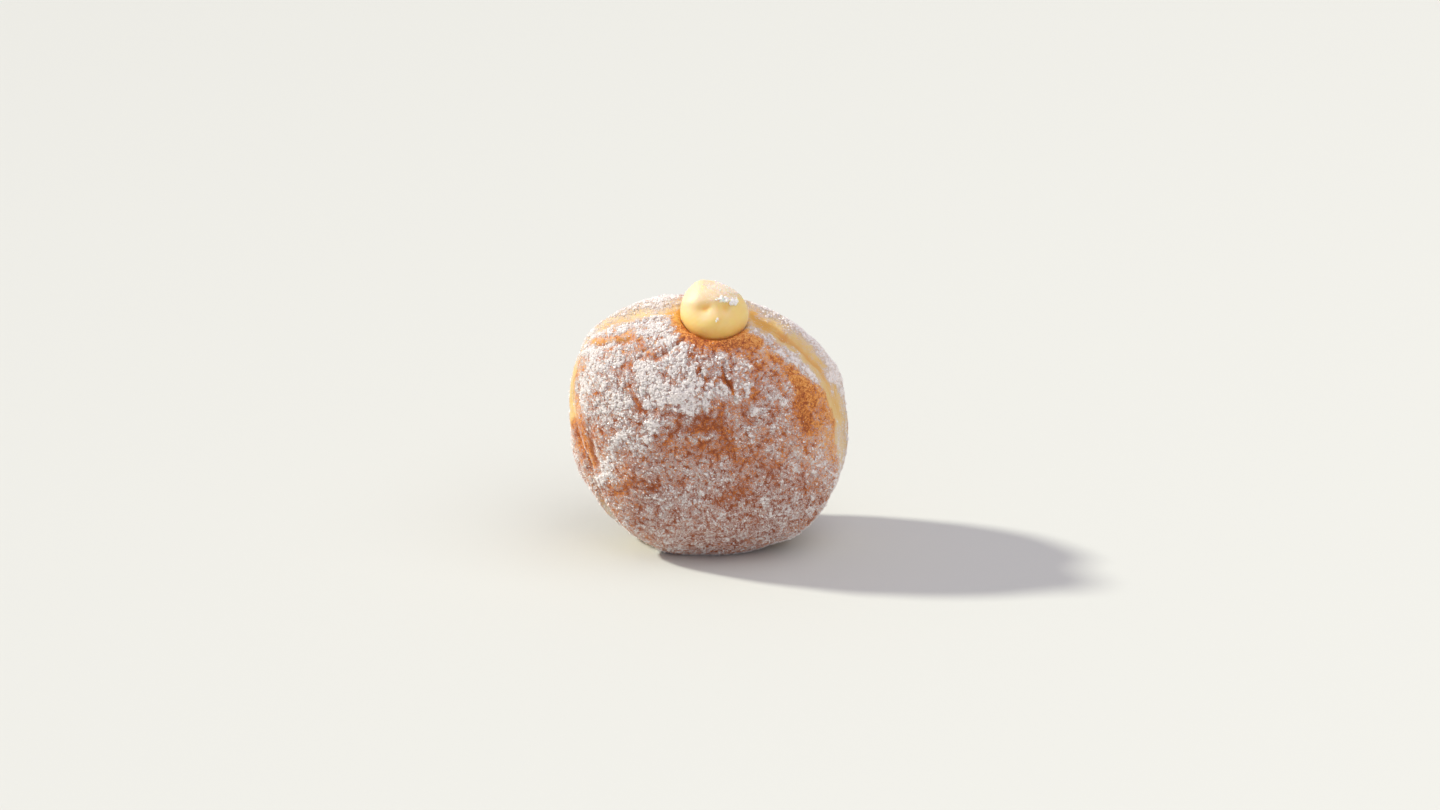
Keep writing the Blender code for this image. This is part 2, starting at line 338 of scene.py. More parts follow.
# The belt as degrees of turn from the crown towards +X, with its middle and half width in mm.
BELT_MIDDLE = (
    (0, -4.0),
    (24, -2.8),
    (50, -4.5),
    (75, -5.5),
    (90, -7.0),
    (135, -4.0),
    (180, -3.0),
    (215, -6.5),
    (238, -11.0),
    (256, -9.0),
    (270, -3.5),
    (283, 1.0),
    (300, 1.5),
    (322, -2.5),
    (342, -4.5),
)
BELT_HALF_WIDTH = (
    (0, 5.0),
    (24, 9.0),
    (50, 10.0),
    (75, 8.5),
    (90, 7.0),
    (135, 6.5),
    (180, 6.0),
    (215, 5.0),
    (238, 4.5),
    (256, 5.5),
    (272, 7.0),
    (290, 6.5),
    (322, 4.6),
    (344, 4.2),
)

# Strokes on the side that the camera sees, in mm right of the middle and up from the floor line
# as the camera sees them. Each is (points, half width, amount).
GROOVES = (
    (((-32.6, 69.0), (-26.7, 69.3)), 0.5, 0.5),
    (((-36.0, 67.4), (-31.0, 67.8)), 0.5, 0.5),
    (((-29, 68.9), (-20.9, 70.2), (-15.6, 70.9), (-8.8, 72.3)), 0.8, 0.9),
    (((-39.0, 61.2), (-34.9, 62.3), (-29.5, 62.8), (-23.5, 64.8)), 0.8, 0.7),
    (((-6.4, 65.2), (-11.9, 61.0), (-18.6, 57.6)), 0.75, 0.8),
    (((-20.7, 59.4), (-24.1, 57)), 0.6, 0.5),
    (((-3.0, 56.0), (-2.0, 52.5), (-1.6, 49.5)), 0.42, 0.8),
    (((-0.6, 52.6), (0.4, 49.6)), 0.4, 0.5),
    (((4.0, 57.5), (5.4, 53.8), (5.9, 50.6), (7.1, 47.4)), 0.42, 0.9),
    (((8.0, 56.8), (8.4, 53.6)), 0.4, 0.5),
    (((1.8, 60.8), (2.6, 57.6)), 0.4, 0.4),
    (((-9.0, 63.4), (-13.6, 60.8)), 0.4, 0.5),
    (((-16.0, 63.0), (-20.6, 60.2), (-23.0, 60.4)), 0.45, 0.5),
    (((-12.4, 57.6), (-15.2, 53.6)), 0.4, 0.4),
    (((-31, 50.5), (-26, 46), (-22, 41.5)), 1.0, 0.5),
    (((1, 43.5), (-6, 37), (-16, 33)), 2.4, 0.6),
    (((3, 38), (3.2, 34)), 1.5, 0.5),
    (((27, 53), (30, 47), (30.5, 40), (32, 33)), 1.6, 0.4),
    (((-41.5, 58), (-43.6, 50), (-43.8, 42)), 0.6, 0.5),
    (((-38.2, 40), (-38.8, 33), (-37.2, 27), (-34.6, 20)), 1.2, 0.8),
    (((-39.4, 57), (-41.6, 50), (-42.0, 42)), 0.6, 0.6),
    (((19.5, 68.5), (25, 64.5), (31, 60), (35.5, 55.5), (39.5, 49)), 1.0, 0.6),
    (((23, 64.2), (26, 66)), 1.0, 0.5),
)
SUGARED = (
    (((-37, 66.0), (-30, 67.6), (-23, 69), (-15, 70), (-12, 70.5)), 1.2, 0.36),
    (((-17, 68.5), (-13, 66), (-13.5, 62)), 3.0, 0.28),
    (((15, 68), (19.5, 65), (23, 62), (28, 57.4), (32.2, 53.2), (37, 51)), 2.4, 0.30),
    (((16, 75.5), (24, 71.8), (31, 66.8), (36.5, 61.3), (40, 55.5), (42.5, 48)), 2.2, 0.35),
    (((-32, 72.5), (-22, 76), (-12, 78.5)), 2.0, 0.3),
    (((-20, 74.4), (-12, 76.4)), 1.4, 0.22),
    (((-37.5, 60.5), (-39.5, 54), (-40.5, 48), (-40, 42)), 1.5, 0.30),
    (((-23, 55.5), (-17, 56), (-10, 57), (-7, 53)), 4.5, 0.22),
    (((-20, 49), (-13, 47), (-4, 48), (-1, 45)), 4.0, 0.30),
    (((-35, 57), (-29, 58)), 2.5, 0.2),
    (((-15, 47.5), (-12, 45)), 2.0, 0.12),
    (((-37, 48), (-33, 44), (-28, 42)), 3.0, 0.25),
    (((-33, 39),), 3.0, 0.2),
    (((-28, 33), (-22, 31)), 3.0, 0.25),
    (((4, 57), (10, 57)), 2.0, 0.15),
    (((12, 56), (12.3, 46)), 1.2, 0.35),
    (((5, 47), (10, 45)), 2.0, 0.18),
    (((-11, 29), (-8, 31.5), (-4, 31.5)), 2.0, 0.2),
    (((-10, 25), (-4, 22.5), (3, 25)), 3.5, 0.2),
    (((16, 42), (19, 45), (23, 44), (25, 40), (22, 37)), 1.6, 0.14),
    (((3, 21), (14, 24)), 3.5, 0.08),
    (((36, 30), (36, 25)), 3.5, 0.12),
    (((-32, 26), (-34, 21)), 3.0, 0.25),
    (((-35, 52), (-28, 49), (-25, 50)), 3.0, 0.25),
    (((-31, 62), (-24, 61), (-20, 63)), 3.5, 0.10),
    (((-12, 64), (-9, 62)), 2.0, 0.25),
    (((4, 47), (6, 42), (9, 39)), 2.0, 0.12),
    (((-18, 58), (-12, 56)), 2.4, 0.2),
    (((-25, 44), (-16, 44)), 2.4, 0.22),
    (((-12, 53), (-6, 54), (0, 50), (5, 50)), 2.6, 0.07),
    (((3, 58), (3, 56)), 2.0, 0.2),
    (((-20, 36), (-14, 38), (-8, 42)), 2.4, 0.15),
    (((22, 28), (27, 24)), 3.0, 0.22),
    (((-27, 66.5), (-20, 66)), 2.0, 0.12),
    (((30, 67), (36, 60.5), (40, 52)), 2.2, 0.2),
    (((-30, 47), (-29, 45)), 1.4, 0.25),
    (((-21, 56), (-20, 53)), 1.4, 0.22),
    (((-13, 60.5), (-10, 61)), 1.3, 0.25),
    (((-28, 34), (-27, 31)), 1.6, 0.22),
    (((-20, 35), (-16, 34)), 1.4, 0.2),
    (((-10, 42), (-5, 43.5)), 1.3, 0.2),
    (((4, 56), (4, 54)), 1.0, 0.25),
    (((-5, 57), (-4.4, 54)), 1.0, 0.25),
    (((-41.5, 60), (-42.5, 55)), 1.4, 0.2),
    (((-38, 65), (-35, 65)), 1.2, 0.2),
    (((-8, 55), (-7, 50)), 1.5, 0.05),
    (((0, 53), (1, 51)), 1.0, 0.15),
    (((4, 60), (6, 58)), 1.5, 0.15),
    (((8, 52), (9, 48)), 1.3, 0.1),
    (((-28, 57),), 1.6, 0.12),
    (((-37, 55), (-35, 52)), 1.5, 0.15),
    (((-20, 65), (-14, 68)), 2.0, 0.12),
    (((-40, 39), (-39, 36)), 1.5, 0.2),
    (((11, 26), (14, 30)), 2.0, 0.12),
    (((15, 67.5), (21, 62.5), (28, 56.5), (34, 51)), 1.6, 0.08),
    (((-16, 47), (-12, 45.5)), 2.2, 0.15),
)
BARE = (
    (((-10.5, 71), (-9, 67.5), (-5, 64.5), (2, 62.8), (9, 63), (15, 63.6)), 2.2, 0.75),
    (((20, 59), (23, 56.5), (27, 54), (31, 49), (30, 43), (30.5, 36)), 2.2, 0.42),
    (((34, 48), (36, 42), (34, 36)), 3.5, 0.32),
    (((29, 47), (31, 43), (31, 37)), 1.6, 0.25),
    (((-27, 65.5), (-22, 64), (-21, 61)), 1.2, 0.25),
    (((-35.5, 63.4), (-29, 64)), 1.2, 0.45),
    (((-36, 46.5),), 2.0, 0.42),
    (((-34.5, 53.5), (-33.5, 51)), 1.0, 0.25),
    (((-27, 48), (-22, 42)), 1.3, 0.35),
    (((-22.5, 47.5), (-21.5, 45)), 1.4, 0.25),
    (((-8, 64), (-13, 60.6), (-18, 58)), 1.3, 0.45),
    (((-2, 40), (3.5, 40), (4, 34)), 2.4, 0.30),
    (((2, 37), (-6, 35.5), (-10, 37)), 1.7, 0.3),
    (((10, 57), (13, 50), (13, 44)), 2.2, 0.15),
    (((14, 72), (17, 68)), 2.4, 0.4),
    (((12, 41), (13, 37)), 2.0, 0.15),
    (((-2.5, 29.5),), 1.8, 0.3),
    (((4.2, 57), (5.8, 52), (7, 48)), 0.75, 0.75),
    (((-2.8, 55.5), (-1.7, 50)), 0.65, 0.55),
    (((15, 60), (16, 54), (16, 47)), 2.0, 0.15),
    (((-30, 15), (-24, 18), (-17, 17)), 2.2, 0.25),
    (((4, 13), (12, 15)), 3.0, 0.2),
    (((40, 34), (40, 27)), 2.0, 0.2),
    (((-43.5, 57), (-44.8, 48), (-44.5, 38)), 2.2, 0.5),
    (((-40.5, 38), (-39.5, 30), (-36.5, 23)), 1.8, 0.35),
    (((19.5, 67.5), (24, 64), (30, 60.4), (36, 54.5), (39.5, 45), (41, 38)), 1.9, 0.58),
    (((0, 44), (0, 41)), 1.4, 0.12),
    (((1, 47.5), (2, 46)), 1.4, 0.08),
    (((-7, 34), (-7, 31)), 1.6, 0.25),
    (((22, 31),), 1.6, 0.15),
    (((10, 58),), 1.4, 0.2),
    (((12, 65), (16, 63)), 1.4, 0.35),
    (((17, 45),), 1.2, 0.2),
    (((26, 45),), 1.4, 0.2),
    (((34, 29),), 2.0, 0.2),
    (((1, 25.5),), 2.0, 0.2),
    (((-16, 29), (-12, 34)), 1.6, 0.25),
    (((-32, 33),), 1.4, 0.2),
    (((22, 53), (22, 48)), 1.6, 0.2),
    (((-26, 60), (-26, 57)), 1.1, 0.2),
    (((-26.1, 55.8), (-24.8, 51.6), (-25.6, 48.4), (-22.9, 44.1)), 1.1, 0.35),
    (((-8, 27), (22, 25)), 7.0, 0.23),
)
GOLDEN = (
    (((-33, 68.6), (-25, 69.4), (-20.9, 70.6), (-15.6, 71.5), (-8, 73)), 1.1, 0.9),
    (((14, 72), (18, 68)), 2.0, 0.5),
    (((-36.5, 62.6), (-29, 63.6), (-26, 64.8)), 1.4, 0.5),
    (((-10.5, 72.3), (-9.3, 70)), 1.4, 0.7),
    (((15, 72), (19, 68.5), (25, 64.5), (31, 60), (35.5, 55.5), (39.5, 49), (42, 40)), 2.0, 0.5),
)
TOASTED = (
    (((-42, 37), (-41, 30), (-38, 22), (-33, 14)), 3.2, 0.95),
)


def around(degrees, stations):
    """Values at these turns on a closed line through stations of (degrees, value)."""
    turns, values = zip(*stations)
    return np.interp(degrees, turns, values, period=360)


def box_of_cells(across, along):
    """A cube from -1 to 1 whose front and back have across x across cells, and along rows between."""
    bm = bmesh.new()
    bmesh.ops.create_cube(bm, size=2)
    for axis, cuts in ((1, along - 1), (0, across - 1), (2, across - 1)):
        lengthwise = [
            edge
            for edge in bm.edges
            if abs((edge.verts[0].co - edge.verts[1].co).normalized()[axis]) > 0.99
        ]
        bmesh.ops.subdivide_edges(bm, edges=lengthwise, cuts=cuts)
    return bm


def direction(spot):
    """Direction from the middle of the dough to a spot on the box of cells, evenly spread."""
    quarter = math.pi / 4
    ring = max(abs(spot.x), abs(spot.z))
    if ring < 1e-6:
        return Vector((0, math.copysign(1, spot.y), 0))
    if abs(spot.x) > abs(spot.z):
        turn = math.atan2(spot.x / ring, math.tan(quarter * spot.z / ring))
    else:
        turn = math.atan2(math.tan(quarter * spot.x / ring), spot.z / ring)
    if abs(spot.y) > 1 - 1e-6:
        tilt = math.copysign(quarter * (2 - ring), spot.y)
    else:
        tilt = quarter * spot.y
    return Vector((math.cos(tilt) * math.sin(turn), math.sin(tilt), math.cos(tilt) * math.cos(turn)))


def near_stroke(places, points):
    """Distance from each place to a stroke in mm, and how far along the stroke it is, 0 to 1."""
    points = [np.array(point, dtype=float) for point in points]
    best = np.linalg.norm(places - points[0], axis=1)
    along = np.zeros(len(places))
    length = sum(np.linalg.norm(end - start) for start, end in zip(points, points[1:]))
    passed = 0
    for start, end in zip(points, points[1:]):
        run = end - start
        share = np.clip((places - start) @ run / (run @ run), 0, 1)
        distance = np.linalg.norm(places - start - share[:, None] * run, axis=1)
        nearer = distance < best
        best = np.where(nearer, distance, best)
        along = np.where(nearer, (passed + share * np.linalg.norm(run)) / length, along)
        passed += np.linalg.norm(run)
    return best, along


def strokes_at(places, strokes, tapered=False):
    """The strokes' amounts added up at each place. Tapered ones die out towards their ends."""
    total = np.zeros(len(places))
    for points, width, amount in strokes:
        distance, along = near_stroke(places, points)
        fade = 1 - (2 * along - 1) ** 4 if tapered else 1
        total += amount * fade * hump(distance, width)
    return total


solid = merged_copy("dough")
solid_tree = BVHTree.FromBMesh(solid)
solid.free()
skin = box_of_cells(FACE_CELLS, BELT_ROWS)
for vert in skin.verts:
    away = direction(vert.co)
    hit = solid_tree.ray_cast(MIDDLE + away * OUTSIDE, -away)[0]
    reach = (hit - MIDDLE).length
    if away.z > OVER_HOLE:
        reach = max(HOLE_FLOOR, reach)
    vert.co = MIDDLE + away * reach
for _ in range(SMOOTHINGS):
    bmesh.ops.smooth_vert(
        skin, verts=skin.verts, factor=0.5, use_axis_x=True, use_axis_y=True, use_axis_z=True
    )
bmesh.ops.recalc_face_normals(skin, faces=skin.faces)
crust_mesh = bpy.data.meshes.new("crust")
skin.to_mesh(crust_mesh)
skin.free()

spots, outward = spots_and_normals(crust_mesh)
rel = (spots - np.array(MIDDLE)) / MM
turns = np.degrees(np.arctan2(rel[:, 0], rel[:, 2]))
belt_half = around(turns, BELT_HALF_WIDTH)
belt_off = np.abs(rel[:, 1] - around(turns, BELT_MIDDLE))
millimetres = spots / MM
stray = np.stack([noise_at(millimetres, 5.0, seed, 2) for seed in (31, 32)], axis=1)
places = picture_place(spots)
facing = step_up(outward @ np.array(to_lens), -0.05, 0.2)

broad = np.clip(noise_at(millimetres, 9.0, 1, 3), -1, 1)
middling = noise_at(millimetres, 2.6, 2, 3)
fine = noise_at(millimetres, 1.25, 3, 2)
grainy = noise_at(millimetres, 0.6, 9)

# Streaks that fan out from the hole, over the upper half.
out, up = millimetres[:, 0], CROWN - millimetres[:, 2]
from_crown = np.hypot(out, up)
fan = np.stack((np.arctan2(out, up) * 25, millimetres[:, 1], from_crown * 0.45), axis=1)
streaks = noise_at(fan, 2.2, 13, 2) * (1 - step_up(from_crown, 32, 58))

custard_spots, custard_outward = spots_and_normals(custard_mesh)
custard_faces = [list(face.vertices) for face in custard_mesh.polygons]
custard_tree = BVHTree.FromPolygons([Vector(spot) for spot in custard_spots], custard_faces)
custard_near = np.full(len(spots), FAR_OFF)
for index in np.flatnonzero(spots[:, 2] > 60 * MM):
    near = custard_tree.find_nearest(Vector(spots[index]), CUSTARD_REACH)
    if near[0] is not None:
        custard_near[index] = near[3] / MM

# How pale the dough is, from the brown faces over the lips to the belt.
wobble = middling + 1.1 * stray[:, 0] + 1.8 * broad * (1 - facing)
belt = 1 - step_up(belt_off + wobble, belt_half * 0.95, belt_half * 1.45)
toasted = np.clip(strokes_at(places + 0.6 * stray, TOASTED), 0, 1) * facing
belt *= 1 - toasted
lip = hump(belt_off - belt_half * 1.05, 1.8)
valley = 1 - step_up(belt_off, 0.0, belt_half * 0.8)
brown_and_painted_shade = step_up(belt_off, belt_half * 1.1, belt_half * 1.1 + 15) * 0.5 + 0.25 + 0.12 * broad
brown_and_painted_shade += 0.22 * toasted
# Painted shade: the crust is painted darker towards the bottom.
low_down = 1 - step_up(millimetres[:, 2], 16, 44)
# Right against the custard the crust is darker, partly from its fat soaking in and partly as painted shade. A
# little further out it is painted lighter, as a painted glow from the cream.
brown_and_painted_shade += 0.35 * hump(custard_near, 0.9) - 0.1 * hump(custard_near, 4.0) + 0.3 * low_down

# Where the sugar lies: 0 is bare, 1 is a white crust.
wide = noise_at(millimetres, 18.0, 33, 2)
even_sugar = 0.50 + 0.16 * broad + 0.30 * wide + 0.20 * lip - 0.20 * valley
seen_sugar = 0.52 + 0.10 * broad + 0.04 * lip - 0.15 * valley
strayed = places + 1.6 * stray
seen_sugar += strokes_at(strayed, SUGARED) - strokes_at(strayed, BARE)
sugar = even_sugar + (seen_sugar - even_sugar) * facing
sugar -= 0.8 * hump(custard_near, 2.2) * (1 - belt)
net = hump(noise_at(millimetres * np.array([1.25, 1, 0.8]), 3.2, 12, 2), 0.07)
caked = step_up(sugar, 0.45, 0.85)
sugar += 0.18 * middling + (0.18 + 0.22 * caked) * fine - (0.35 * net - 0.26 * streaks) * (1 - belt)
sugar = np.clip(sugar, 0, 1)
# Painted shade: the crust is painted darker along the net of grooves and in the low spots between the sugar.
brown_and_painted_shade += (0.22 * net - 0.12 * fine) * (1 - belt)

golden = np.clip(strokes_at(places + 0.6 * stray, GOLDEN), 0, 1) * facing
golden = np.maximum(golden, (1 - facing) * 0.45 * valley * step_up(broad, -0.5, 0.5))
groove = strokes_at(places + 0.4 * stray, GROOVES, tapered=True) * facing
wander = noise_at(millimetres, 12.0, 4)
cracks = hump(wander, 0.035) * step_up(noise_at(millimetres, 16.0, 5), 0.0, 0.25) * (1 - facing)
groove = np.maximum(groove, 0.7 * cracks)
pleats = np.cos(2 * np.pi * (rel[:, 1] + 1.5 * noise_at(millimetres, 14.0, 8)) / 2.4)
pleats = 0.3 * step_up(pleats, 0.3, 1.0) * belt * step_up(noise_at(millimetres, 18.0, 10), 0.0, 0.3)

wrinkle = 1 - 2 * np.abs(noise_at(millimetres, 1.9, 6, 2))
stretched = noise_at(millimetres * np.array([1, 2.6, 1]), 4.5, 7, 3)
relief = 0.24 * broad + 0.10 * middling + 0.06 * wrinkle * (1 - belt) + 0.16 * belt * stretched
relief += sugar * (0.12 + (0.14 * fine + 0.13 * grainy) * (1 - 0.5 * belt)) - PULLED_IN
relief += (0.08 * grainy - 0.2 * net) * (1 - belt)
relief += 0.6 * hump(custard_near, 1.3) - groove - pleats
relief *= step_up(millimetres[:, 2], 0.2, 3.0)
spots += outward * (relief * MM)[:, None]
spots[:, 2] = np.maximum(spots[:, 2], 0)
crust_mesh.vertices.foreach_set("co", spots.ravel())
crust_mesh.update()
crust_mesh.shade_smooth()
crease = np.clip(groove + pleats, 0, 1)
for name, values in (
    ("sugar", sugar),
    ("belt", belt),
    ("brown_and_painted_shade", brown_and_painted_shade),
    ("crease", crease),
    ("golden", golden),
    ("custard_near", custard_near),
):
    crust_mesh.attributes.new(name, "FLOAT", "POINT").data.foreach_set("value", values)
crust = new_object("crust", crust_mesh)

# The pocket that the custard fills, a little wider than the custard, so that the two don't cross.
pocket_mesh = bpy.data.meshes.new("pocket")
pocket_mesh.from_pydata(custard_spots + custard_outward * POCKET_GAP, [], custard_faces)
pocket = new_object("pocket", pocket_mesh)
thinned = pocket.modifiers.new("thinned", "DECIMATE")
thinned.ratio = POCKET_SHARE
with_modifiers(pocket)
cut = crust.modifiers.new("pocket", "BOOLEAN")
cut.solver = "MANIFOLD"
cut.object = pocket
with_modifiers(crust)
crust_mesh = crust.data
crust_mesh.name = "crust"
bpy.data.objects.remove(pocket)

crust_skin, tree, shader = new_material("crust_skin")
medium = grain(tree, 3.0, 4)
speckle = grain(tree, 1.1, 3)
dust = grain(tree, 0.36, 2)
mottle = grain(tree, 0.6, 3)
# The brown carries the colour of the frying together with painted shade and painted glow.
browning_and_shade = weigh(tree, attribute(tree, "brown_and_painted_shade"), 0.6, medium)
browning_and_shade = weigh(tree, weigh(tree, weigh(tree, browning_and_shade, 0.9, speckle), 1.9, mottle), 1.2, dust)
crust_colour = ramp(
    tree,
    browning_and_shade,
    (0.05, (0.88, 0.46, 0.13)),
    (0.30, (0.78, 0.29, 0.05)),
    (0.55, (0.56, 0.155, 0.024)),
    (0.90, (0.31, 0.065, 0.012)),
)
belt_colour = ramp(tree, medium, (0.3, (0.84, 0.645, 0.31)), (0.7, (0.82, 0.545, 0.19)))
belt_mask = between(tree, weigh(tree, attribute(tree, "belt"), 0.5, speckle), 0.25, 0.8)
dough_colour = blend(tree, belt_mask, crust_colour, belt_colour)
golden_mask = between(tree, weigh(tree, attribute(tree, "golden"), 0.5, speckle), 0.1, 0.9)
dough_colour = blend(tree, golden_mask, dough_colour, (0.80, 0.43, 0.085))
# Painted shade: the creases and pleats are painted darker, a very dark brown on the brown faces and a deep
# orange on the belt.
crease_shade_mask = between(tree, attribute(tree, "crease"), 0.15, 0.9)
crease_shade_colour = blend(tree, belt_mask, (0.33, 0.085, 0.02), (0.76, 0.36, 0.08))
dough_colour = blend(tree, crease_shade_mask, dough_colour, crease_shade_colour)
sugar_level = attribute(tree, "sugar")
frost = dusting(tree, sugar_level, Patches=0.8, Specks=1.0, Dots=1.3, Bare=0.13, Full=0.74, Most=0.76)
dough_colour = blend(tree, frost, dough_colour, (0.76, 0.61, 0.55))
powder_mask = dusting(tree, sugar_level, Patches=0.7, Specks=1.2, Dots=2.3, Bare=0.64, Full=0.94)
on_belt = add_node(tree, "Math", {0: belt_mask, 1: powder_mask}, operation="MULTIPLY").outputs[0]
powder_mask = weigh(tree, powder_mask, -0.45, on_belt, 0.0)
colour = blend(tree, powder_mask, dough_colour, (0.94, 0.885, 0.835))
tree.links.new(colour, shader.inputs["Base Color"])
tree.links.new(between(tree, powder_mask, 0.0, 0.6, 0.5, 0.9), shader.inputs["Roughness"])
height = weigh(tree, weigh(tree, weigh(tree, powder_mask, 0.6, speckle), 0.9, dust), 0.7, mottle)
bump = add_node(tree, "Bump", {"Height": height, "Strength": 1.0, "Distance": 0.21 * MM})
tree.links.new(bump.outputs["Normal"], shader.inputs["Normal"])
shader.inputs["Subsurface Weight"].default_value = 0.12
shader.inputs["Subsurface Radius"].default_value = (1.0, 0.45, 0.2)
shader.inputs["Subsurface Scale"].default_value = 1.6 * MM
shader.inputs["Specular IOR Level"].default_value = 0.4
crust_mesh.materials.clear()
crust_mesh.materials.append(crust_skin)
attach(crust, "root")
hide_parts("dough")


# ---------------------------------------------------------------------------------------------
# The sugar. Fine caster sugar that the hot doughnut was rolled in. Most of it is single crystals,
# and where it lay thick it has caked into small lumps. A little has landed on the custard.
CUSTARD_CLEARANCE = 0.5  # mm, crust nearer to the custard than this draws no crystals
CLUSTER_SIZE = 0.9  # mm
CLUSTER_SEED = 40
CLUSTERING = 2.0  # spots drawn for each one kept, by how far it lies inside a cluster
CLUSTER_STRAY = 0.25  # how much chance counts beside the cluster
SMALL_ONES = 1.6  # above 1, small grains are more common than big ones
LEAST_STRETCH = 0.65  # narrowest side of a grain, as a share of its size
RISE = 0.35  # share of its size by which a grain may stand higher than the rest
RISE_SELDOM = 4  # the higher, the fewer grains rise


class Ground:
    """A mesh that sugar can lie on, with values at its points."""

    def __init__(self, mesh, names):
        mesh.calc_loop_triangles()
        corners = np.empty(len(mesh.loop_triangles) * 3, dtype=np.int32)
        mesh.loop_triangles.foreach_get("vertices", corners)
        self.corners = corners.reshape(-1, 3)
        self.spots, self.normals = spots_and_normals(mesh)
        for name in names:
            values = np.empty(len(mesh.vertices))
            mesh.attributes[name].data.foreach_get("value", values)
            setattr(self, name, values)
        a, b, c = (self.spots[self.corners[:, i]] for i in range(3))
        self.areas = np.linalg.norm(np.cross(b - a, c - a), axis=1) / 2


def random_turns(rng, count):
    """Random rotation matrices."""
    q = rng.normal(size=(count, 4))
    w, x, y, z = (q / np.linalg.norm(q, axis=1)[:, None]).T
    rows = (
        (1 - 2 * (y * y + z * z), 2 * (x * y - z * w), 2 * (x * z + y * w)),
        (2 * (x * y + z * w), 1 - 2 * (x * x + z * z), 2 * (y * z - x * w)),
        (2 * (x * z - y * w), 2 * (y * z + x * w), 1 - 2 * (x * x + y * y)),
    )
    return np.stack([np.stack(row, axis=1) for row in rows], axis=1)


def scatter(name, seed, count, pattern, sizes, ground, liking, lift, material, rough=0.15):
    """Copies of a small pattern, strewn over a ground in clusters and joined into one piece.

    The liking is how likely each point of the ground is to hold one, and lift is how far each
    stands proud of the ground, as a share of its size."""
    rng = np.random.default_rng(seed)
    drawn = int(count * CLUSTERING)
    shape = bmesh.new()
    pattern(shape)
    shape_spots = np.array([vert.co for vert in shape.verts])
    shape_faces = np.array([[vert.index for vert in face.verts] for face in shape.faces])
    shape.free()
    chance = ground.areas * liking[ground.corners].mean(axis=1)
    picked = rng.choice(len(ground.corners), size=drawn, p=chance / chance.sum())
    weights = rng.dirichlet((1, 1, 1), size=drawn)
    middles = np.einsum("nk,nkj->nj", weights, ground.spots[ground.corners[picked]])
    drawing = noise_at(middles / MM, CLUSTER_SIZE, CLUSTER_SEED) + CLUSTER_STRAY * rng.normal(size=drawn)
    kept = np.argsort(drawing)[-count:]
    middles, picked, weights = middles[kept], picked[kept], weights[kept]
    normals = np.einsum("nk,nkj->nj", weights, ground.normals[ground.corners[picked]])
    normals /= np.linalg.norm(normals, axis=1)[:, None]
    low, high = sizes
    size = (low + (high - low) * rng.random(count) ** SMALL_ONES) * MM
    stretch = rng.uniform(LEAST_STRETCH, 1.0, size=(count, 1, 3))
    body = shape_spots[None] * stretch
    body = body * rng.uniform(1 - rough, 1 + rough, size=(count, len(shape_spots), 1))
    body = np.einsum("nij,nkj->nki", random_turns(rng, count), body) * size[:, None, None]
    rise = size * (lift + RISE * rng.random(count) ** RISE_SELDOM)
    body += (middles + normals * rise[:, None])[:, None]
    body[..., 2] = np.maximum(body[..., 2], 0)
    faces = shape_faces[None] + (np.arange(count) * len(shape_spots))[:, None, None]
    mesh = bpy.data.meshes.new(name)
    mesh.from_pydata(body.reshape(-1, 3), [], faces.reshape(-1, shape_faces.shape[1]))
    mesh.materials.append(material)
    piece = new_object(name, mesh)
    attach(piece, "root")


def crystal(bm):
    """A cube."""
    bmesh.ops.create_cube(bm, size=1)


def grit(bm):
    """An octahedron."""
    bmesh.ops.create_uvsphere(bm, u_segments=4, v_segments=2, radius=0.5)


def splinter(bm):
    """A three-sided pyramid."""
    bmesh.ops.create_cone(bm, cap_ends=True, segments=3, radius1=0.55, radius2=0, depth=0.9)


def lump(bm):
    """A rounded block of 24 faces."""
    bmesh.ops.create_cube(bm, size=0.8)
    bmesh.ops.subdivide_edges(bm, edges=bm.edges, cuts=1, smooth=0.7, use_grid_fill=True)


sugar_crystal, tree, shader = new_material("sugar_crystal")
shader.inputs["Base Color"].default_value = (0.975, 0.93, 0.885, 1)
shader.inputs["Roughness"].default_value = 0.2
shader.inputs["Specular IOR Level"].default_value = 0.8
sugar_cake, tree, shader = new_material("sugar_cake")
shader.inputs["Base Color"].default_value = (0.95, 0.895, 0.84, 1)
shader.inputs["Roughness"].default_value = 0.8
bump = add_node(tree, "Bump", {"Height": grain(tree, 0.35, 2), "Strength": 0.8, "Distance": 0.15 * MM})
tree.links.new(bump.outputs["Normal"], shader.inputs["Normal"])

# Painted light: a whiter copy of the sugar for the grains on the custard, which makes those lying in the
# sun's shade look lit.
custard_grain_brightened, tree, shader = new_material("custard_grain_brightened")
shader.inputs["Base Color"].default_value = (1.0, 0.985, 0.93, 1)
shader.inputs["Roughness"].default_value = 0.3

top = Ground(crust_mesh, ("sugar", "belt", "custard_near"))
free = (top.custard_near > CUSTARD_CLEARANCE) * (1 - 0.5 * top.belt)
thick = step_up(top.sugar, 0.5, 1.0)
thin = 0.007 + step_up(top.sugar, 0.2, 0.9)
for name, seed, count, pattern, sizes, liking, lift in (
    ("sugar_crystals", 11, 16600, crystal, (0.28, 0.50), free * (0.7 * thick + 0.3 * thin**2), 0.10),
    ("sugar_grit", 12, 24000, grit, (0.22, 0.42), free * thin, 0.12),
    ("sugar_splinters", 13, 48000, splinter, (0.18, 0.32), free * thin, 0.12),
    ("sugar_fine_splinters", 17, 48000, splinter, (0.14, 0.26), free * thin, 0.12),
):
    scatter(name, seed, count, pattern, sizes, top, liking, lift, sugar_crystal)
scatter("sugar_lumps", 14, 3200, lump, (0.35, 0.8), top, free * thick**3, -0.15, sugar_cake, rough=0.35)

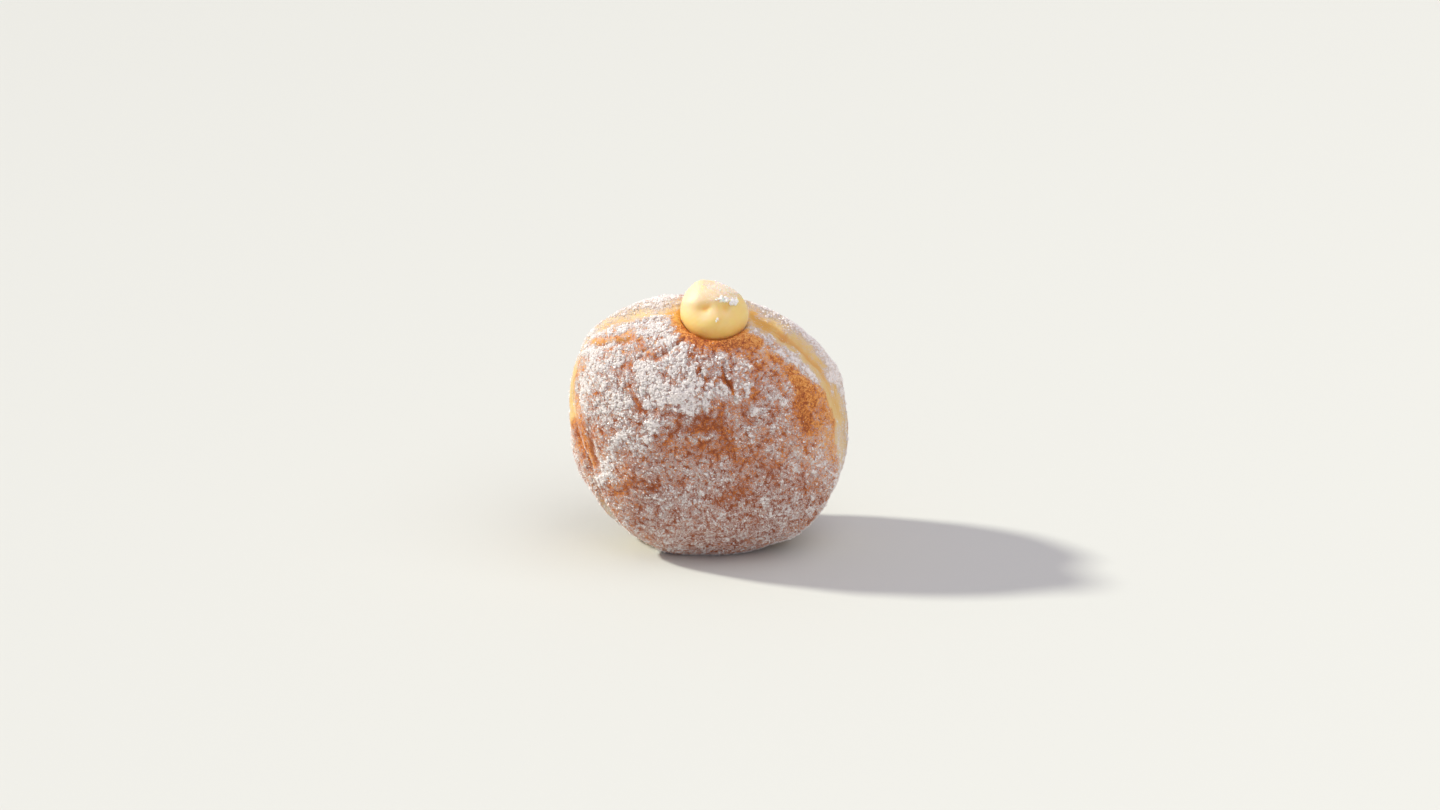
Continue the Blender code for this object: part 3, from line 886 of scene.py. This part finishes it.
ball = Ground(custard_mesh, ("dusted", "caked"))
upper = ball.dusted * step_up(ball.spots[:, 2], 79 * MM, 83 * MM)
flaked = ball.caked * (ball.spots[:, 2] > 72 * MM)
for name, seed, count, pattern, sizes, liking, lift, rough in (
    ("custard_sugar", 15, 110, crystal, (0.16, 0.34), upper + 2 * ball.caked, 0.05, 0.15),
    ("custard_splinters", 18, 600, splinter, (0.12, 0.26), upper + ball.caked, 0.05, 0.15),
    ("custard_sugar_lumps", 16, 44, lump, (0.35, 0.85), flaked, 0.0, 0.35),
):
    scatter(name, seed, count, pattern, sizes, ball, liking, lift, custard_grain_brightened, rough)


# ---------------------------------------------------------------------------------------------
# The floor is a pale studio sweep. A sun from the left, a little behind, throws the shadow to the
# right. A wide soft box hangs high in front on the right, and an even, cool room fills the shade.
FLOOR_SIZE = 20  # m
FLOOR_COLOUR = (0.672, 0.684, 0.636, 1)
SUN_ENERGY = 3.2
SUN_COLOUR = (1.0, 0.995, 0.90)
SUN_SPREAD = math.radians(5)
SUN_DIRECTION = Vector((0.78, -0.18, -0.60))
BOX_SIZE = 3.4  # m
BOX_POWER = 53  # W
BOX_PLACE = Vector((1.5, -0.9, 3.1))
ROOM_LIGHT = (0.425, 0.392, 0.465)
ROOM_BACKGROUND = (0.896, 0.896, 0.831)

bm = bmesh.new()
bmesh.ops.create_grid(bm, x_segments=1, y_segments=1, size=FLOOR_SIZE / 2)
floor_mesh = bpy.data.meshes.new("floor")
bm.to_mesh(floor_mesh)
bm.free()
floor = new_object("floor", floor_mesh)
floor_paint, tree, shader = new_material("floor_paint")
shader.inputs["Roughness"].default_value = 1.0
shader.inputs["Specular IOR Level"].default_value = 0.0
shader.inputs["Base Color"].default_value = FLOOR_COLOUR
floor.data.materials.append(floor_paint)

sun_data = bpy.data.lights.new("sun", "SUN")
sun_data.energy = SUN_ENERGY
sun_data.angle = SUN_SPREAD
sun_data.color = SUN_COLOUR
sun = bpy.data.objects.new("sun", sun_data)
sun.rotation_euler = SUN_DIRECTION.to_track_quat("-Z", "Y").to_euler()
bpy.context.scene.collection.objects.link(sun)

box_data = bpy.data.lights.new("soft_box", "AREA")
box_data.energy = BOX_POWER
box_data.size = BOX_SIZE
soft_box = bpy.data.objects.new("soft_box", box_data)
soft_box.location = BOX_PLACE
soft_box.rotation_euler = (AIM - BOX_PLACE).to_track_quat("-Z", "Y").to_euler()
bpy.context.scene.collection.objects.link(soft_box)

world = bpy.data.worlds.new("room")
world.use_nodes = True
tree = world.node_tree
background = tree.nodes["Background"]
seen = add_node(tree, "LightPath").outputs["Is Camera Ray"]
tree.links.new(blend(tree, seen, ROOM_LIGHT, ROOM_BACKGROUND), background.inputs["Color"])
bpy.context.scene.world = world
bpy.context.scene.view_settings.view_transform = "Standard"
